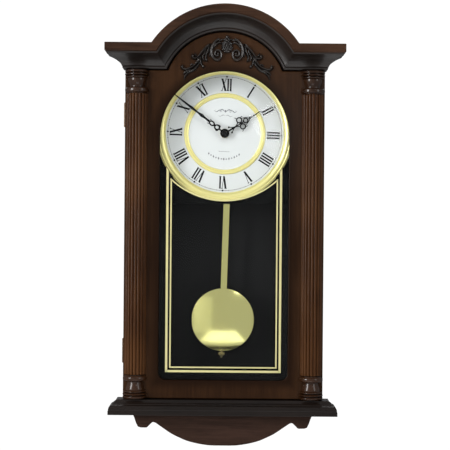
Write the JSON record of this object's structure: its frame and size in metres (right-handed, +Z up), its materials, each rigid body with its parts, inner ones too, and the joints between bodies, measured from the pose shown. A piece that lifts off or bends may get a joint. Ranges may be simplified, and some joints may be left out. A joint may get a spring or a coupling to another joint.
{
  "type": "pendulum wall clock",
  "caption": "Arched wooden wall clock with a hinged glazed door, half-round columns, Roman dial, geared hands, swinging brass pendulum and rear service hatch.",
  "frame": {"origin": "point where the keyhole hanger bears on its wall hook, on the wall plane", "axes": "+X to the viewer's right, +Y into the wall (the front faces -Y), +Z up"},
  "size_m": [0.3732, 0.1296, 0.6867],
  "materials": {
    "walnut_wood": "satin dark walnut lacquer",
    "column_wood": "satin walnut lacquer, darker in the cuts",
    "dark_moulding_wood": "satin near-black brown lacquer",
    "carved_wood": "glossy dark brown-black lacquer",
    "black_painted_wood": "matt black paint",
    "pine_rail": "raw planed pine",
    "fibreboard": "raw fibreboard",
    "window_glass": "clear pane with printed gold outlines",
    "dial_enamel": "satin white with printed black numerals",
    "gilt_metal": "polished pale gilt",
    "pendulum_brass": "polished brass",
    "hinge_brass": "satin brass",
    "movement_brass": "machined brass",
    "black_hand_paint": "satin black paint",
    "zinc_steel": "zinc plated",
    "movement_plastic": "fine-textured black",
    "service_plastic": "fine-textured black",
    "switch_plastic": "smooth pale grey",
    "wheel_plastic": "natural acetal",
    "cell_sleeve": "plain printed sleeve",
    "speaker_frame": "black lacquer",
    "speaker_paper": "matt paper cone"
  },
  "bodies": {
    "case": {"case_side_left": "walnut_wood", "case_side_right": "walnut_wood", "case_top": "walnut_wood", "case_floor": "walnut_wood", "apron": "walnut_wood", "face_board": "dark_moulding_wood", "crown_moulding": "dark_moulding_wood", "base_moulding": "dark_moulding_wood", "dial_board": "black_painted_wood", "hanging_rail": "pine_rail", "back_panel": "fibreboard", "dial_plate": "dial_enamel", "dial_bezel": "gilt_metal", "dial_ring": "gilt_metal", "hinge_top_case_leaf": "hinge_brass", "hinge_bottom_case_leaf": "hinge_brass", "hinge_top_pin": "hinge_brass", "hinge_bottom_pin": "hinge_brass", "bush_nut": "movement_brass", "hanger_plate": "zinc_steel", "hanger_screw_left": "zinc_steel", "hanger_screw_right": "zinc_steel", "magnet_catch": "zinc_steel", "movement_case": "movement_plastic", "movement_cover": "movement_plastic", "cell_left": "cell_sleeve", "cell_right": "cell_sleeve", "speaker_basket": "speaker_frame", "speaker_cone": "speaker_paper"},
    "door": {"door_panel": "walnut_wood", "door_glass": "window_glass", "glass_retainer": "black_painted_wood", "column_shaft_left": "column_wood", "column_shaft_right": "column_wood", "column_capital_left": "column_wood", "column_capital_right": "column_wood", "column_foot_left": "column_wood", "column_foot_right": "column_wood", "carving": "carved_wood", "strike_plate": "zinc_steel", "hinge_top_door_leaf": "hinge_brass", "hinge_bottom_door_leaf": "hinge_brass"},
    "minute_train": {"minute_hand": "black_hand_paint", "hand_nut": "black_hand_paint", "minute_arbor": "movement_brass"},
    "hour_train": {"hour_hand": "black_hand_paint", "hour_wheel": "movement_brass"},
    "motion_wheel": {"minute_wheel": "wheel_plastic"},
    "set_knob": {"setting_knob": "movement_plastic"},
    "pendulum": {"pendulum_rod": "pendulum_brass", "pendulum_bob": "pendulum_brass", "rating_nut": "pendulum_brass"},
    "service_hatch": {"service_door": "service_plastic"},
    "turn_button": {"service_turn_button": "service_plastic"},
    "chime_slider": {"chime_switch": "switch_plastic"},
    "volume_slider": {"volume_switch": "switch_plastic"}
  },
  "joints": [
    {"name": "door_swing", "type": "hinge", "parent": "case", "child": "door", "pos_m": [-0.157, -0.0848, -0.255], "axis": [0, 0, -1], "range_deg": [0, 105]},
    {"name": "minute_turn", "type": "hinge", "parent": "case", "child": "minute_train", "pos_m": [0, -0.07, -0.0967], "axis": [0, 1, 0], "continuous": true},
    {"name": "hour_turn", "type": "hinge", "parent": "case", "child": "hour_train", "pos_m": [0, -0.066, -0.0967], "axis": [0, 1, 0], "continuous": true},
    {"name": "motion_wheel_turn", "type": "hinge", "parent": "case", "child": "motion_wheel", "pos_m": [0, -0.048, -0.0842], "axis": [0, 1, 0], "continuous": true},
    {"name": "set_knob_turn", "type": "hinge", "parent": "case", "child": "set_knob", "pos_m": [0, -0.018, -0.0717], "axis": [0, 1, 0], "continuous": true},
    {"name": "pendulum_swing", "type": "hinge", "parent": "case", "child": "pendulum", "pos_m": [0.0051, -0.0428, -0.164], "axis": [0, 1, 0], "range_deg": [-5.5, 2.5]},
    {"name": "service_door_swing", "type": "hinge", "parent": "case", "child": "service_hatch", "pos_m": [-0.0608, -0.0025, -0.114], "axis": [0, 0, 1], "range_deg": [0, 100]},
    {"name": "turn_button_turn", "type": "hinge", "parent": "service_hatch", "child": "turn_button", "pos_m": [0.053, -0.004, -0.114], "axis": [0, 1, 0], "range_deg": [0, 90]},
    {"name": "chime_slide", "type": "slide", "parent": "case", "child": "chime_slider", "axis": [1, 0, 0], "range_m": [-0.005, 0.005]},
    {"name": "volume_slide", "type": "slide", "parent": "case", "child": "volume_slider", "axis": [1, 0, 0], "range_m": [-0.005, 0.005]}
  ],
  "couplings": [
    {"joint": "hour_turn", "follows": "minute_turn", "ratio": 0.083333},
    {"joint": "motion_wheel_turn", "follows": "minute_turn", "ratio": -0.33333},
    {"joint": "set_knob_turn", "follows": "minute_turn", "ratio": 1}
  ]
}
